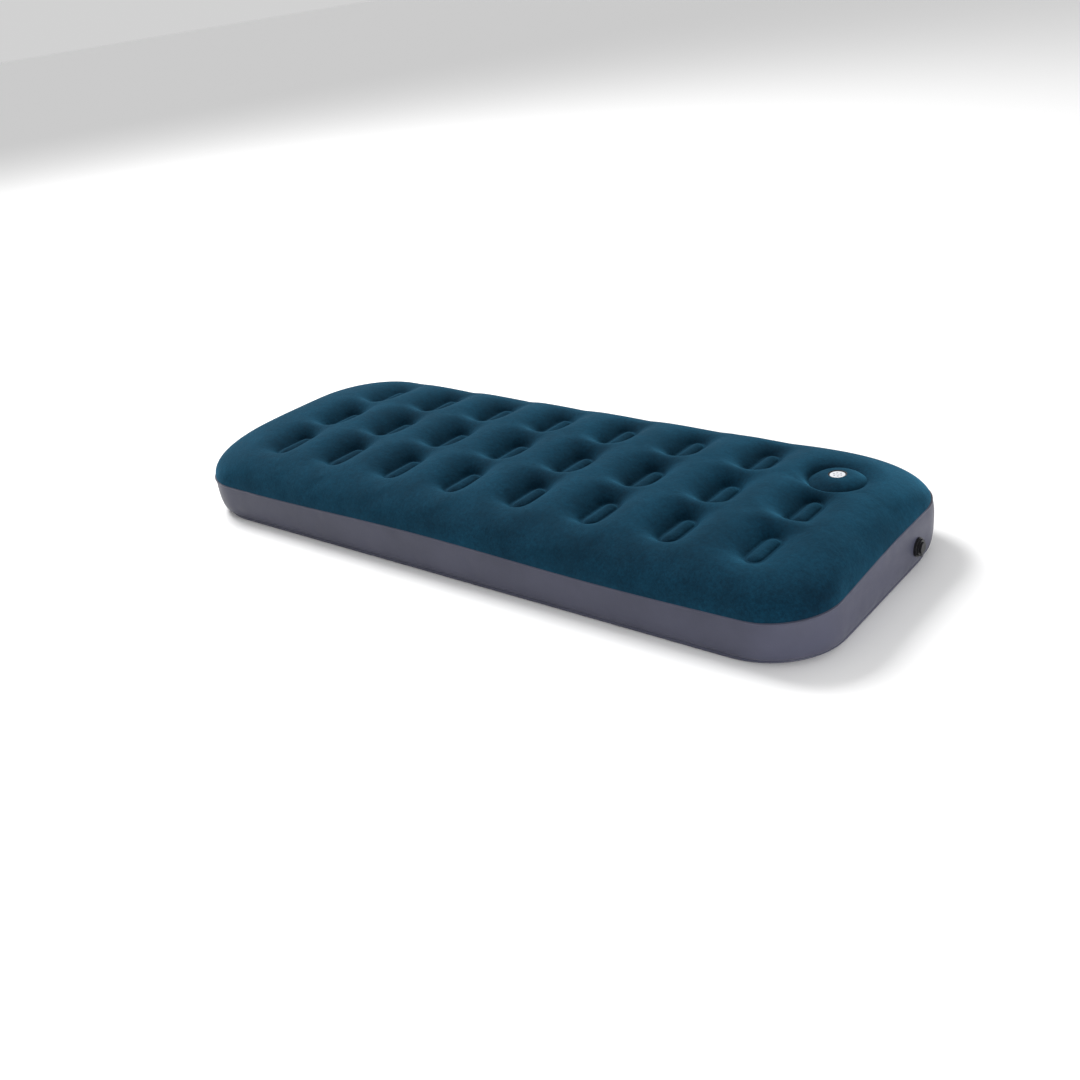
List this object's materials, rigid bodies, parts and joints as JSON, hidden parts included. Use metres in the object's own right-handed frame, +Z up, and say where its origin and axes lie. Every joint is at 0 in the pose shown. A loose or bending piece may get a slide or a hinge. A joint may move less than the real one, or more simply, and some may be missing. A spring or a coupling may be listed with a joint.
{
  "type": "air mattress",
  "caption": "Single flocked air bed: dimpled top over inner beams, grey side band, built-in foot pump and screw-out air valve.",
  "frame": {"origin": "on the floor, under the middle of the bed", "axes": "+X towards the end wall with the valve, +Z up, +Y towards the long side that the pump is nearer to"},
  "size_m": [1.9154, 0.72, 0.22],
  "materials": {
    "flock": "short velvet flock, dark teal",
    "grey_pvc": "satin grey PVC sheet",
    "clear_pvc": "translucent PVC sheet",
    "foam": "open-cell foam",
    "white_plastic": "satin moulded plastic",
    "black_plastic": "soft moulded plastic",
    "rubber": "matt thin rubber"
  },
  "bodies": {
    "root": {"top_cover": "flock", "side_wall": "grey_pvc", "bottom_sheet": "grey_pvc", "coil_beam_01": "clear_pvc", "coil_beam_02": "clear_pvc", "coil_beam_03": "clear_pvc", "coil_beam_04": "clear_pvc", "coil_beam_05": "clear_pvc", "coil_beam_06": "clear_pvc", "coil_beam_07": "clear_pvc", "coil_beam_08": "clear_pvc", "coil_beam_09": "clear_pvc", "coil_beam_10": "clear_pvc", "coil_beam_11": "clear_pvc", "coil_beam_12": "clear_pvc", "coil_beam_13": "clear_pvc", "coil_beam_14": "clear_pvc", "coil_beam_15": "clear_pvc", "coil_beam_16": "clear_pvc", "coil_beam_17": "clear_pvc", "coil_beam_18": "clear_pvc", "coil_beam_19": "clear_pvc", "coil_beam_20": "clear_pvc", "coil_beam_21": "clear_pvc", "coil_beam_22": "clear_pvc", "coil_beam_23": "clear_pvc", "pump_weld_ring": "clear_pvc", "pump_chamber_wall": "clear_pvc", "pump_chamber_base": "clear_pvc", "pump_foam": "foam", "outlet_valve_body": "white_plastic", "valve_base": "black_plastic"},
    "pump_head": {"pump_dome": "flock", "intake_valve_seat": "white_plastic"},
    "intake_flap": {"intake_flap": "rubber"},
    "outlet_flap": {"outlet_flap": "rubber"},
    "plug_carrier": {"plug_seal": "rubber"},
    "plug": {"valve_plug": "black_plastic"},
    "cap": {"valve_cap": "black_plastic", "cap_strap": "black_plastic"},
    "valve_flap": {"valve_flap": "rubber"}
  },
  "joints": [
    {"name": "pump_press", "type": "slide", "parent": "root", "child": "pump_head", "axis": [0, 0, -1], "range_m": [0, 0.06], "stiffness_N_per_m": 1500, "springref_m": -0.004, "deforming": ["pump_foam"]},
    {"name": "intake_flap_hinge", "type": "hinge", "parent": "pump_head", "child": "intake_flap", "pos_m": [0.75, 0.15, 0.1968], "axis": [0, 1, 0], "range_deg": [0, 35], "stiffness_Nm_per_rad": 0.004, "springref_deg": -8.59},
    {"name": "outlet_flap_hinge", "type": "hinge", "parent": "root", "child": "outlet_flap", "pos_m": [0.6897, 0.15, 0.0525], "axis": [0, 1, 0], "range_deg": [0, 35], "stiffness_Nm_per_rad": 0.002, "springref_deg": -2.86},
    {"name": "plug_travel", "type": "slide", "parent": "root", "child": "plug_carrier", "axis": [1, 0, 0], "range_m": [0, 0.008]},
    {"name": "plug_turn", "type": "hinge", "parent": "plug_carrier", "child": "plug", "pos_m": [0.9498, 0.149, 0.06], "axis": [-1, 0, 0], "range_deg": [0, 720]},
    {"name": "valve_cap_hinge", "type": "hinge", "parent": "plug", "child": "cap", "pos_m": [0.9619, 0.149, 0.0397], "axis": [0, 1, 0], "range_deg": [0, 150]},
    {"name": "valve_flap_hinge", "type": "hinge", "parent": "plug", "child": "valve_flap", "pos_m": [0.9347, 0.149, 0.0705], "axis": [0, 1, 0], "range_deg": [0, 60], "stiffness_Nm_per_rad": 0.002, "springref_deg": -2.86}
  ],
  "couplings": [
    {"joint": "plug_turn", "follows": "plug_travel", "rad_per_m": 1570.8}
  ]
}
